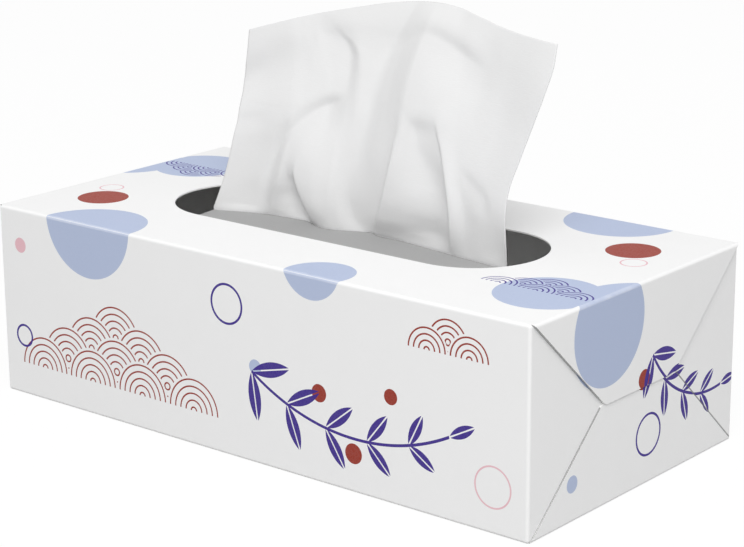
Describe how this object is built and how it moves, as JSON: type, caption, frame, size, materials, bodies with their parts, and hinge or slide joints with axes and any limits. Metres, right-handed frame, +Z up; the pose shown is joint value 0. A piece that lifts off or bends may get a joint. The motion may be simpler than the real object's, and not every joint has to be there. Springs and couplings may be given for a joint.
{
  "type": "tissue box",
  "caption": "Folded paperboard tissue carton with an oblong opening in its top, glued end flaps, a stack of interleaved tissues inside and one tissue standing half drawn out.",
  "frame": {"origin": "on the resting face, under the middle of the carton", "axes": "+X along the long front panel to the right, +Y from the front panel to the back panel, +Z up"},
  "size_m": [0.23, 0.116, 0.1423],
  "materials": {
    "printed_board": "white coated board with a satin print",
    "tissue_paper": "matte, soft"
  },
  "bodies": {
    "root": {"carton": "printed_board", "tissue_stack": "tissue_paper", "next_tissue": "tissue_paper", "raised_tissue": "tissue_paper"}
  },
  "joints": []
}
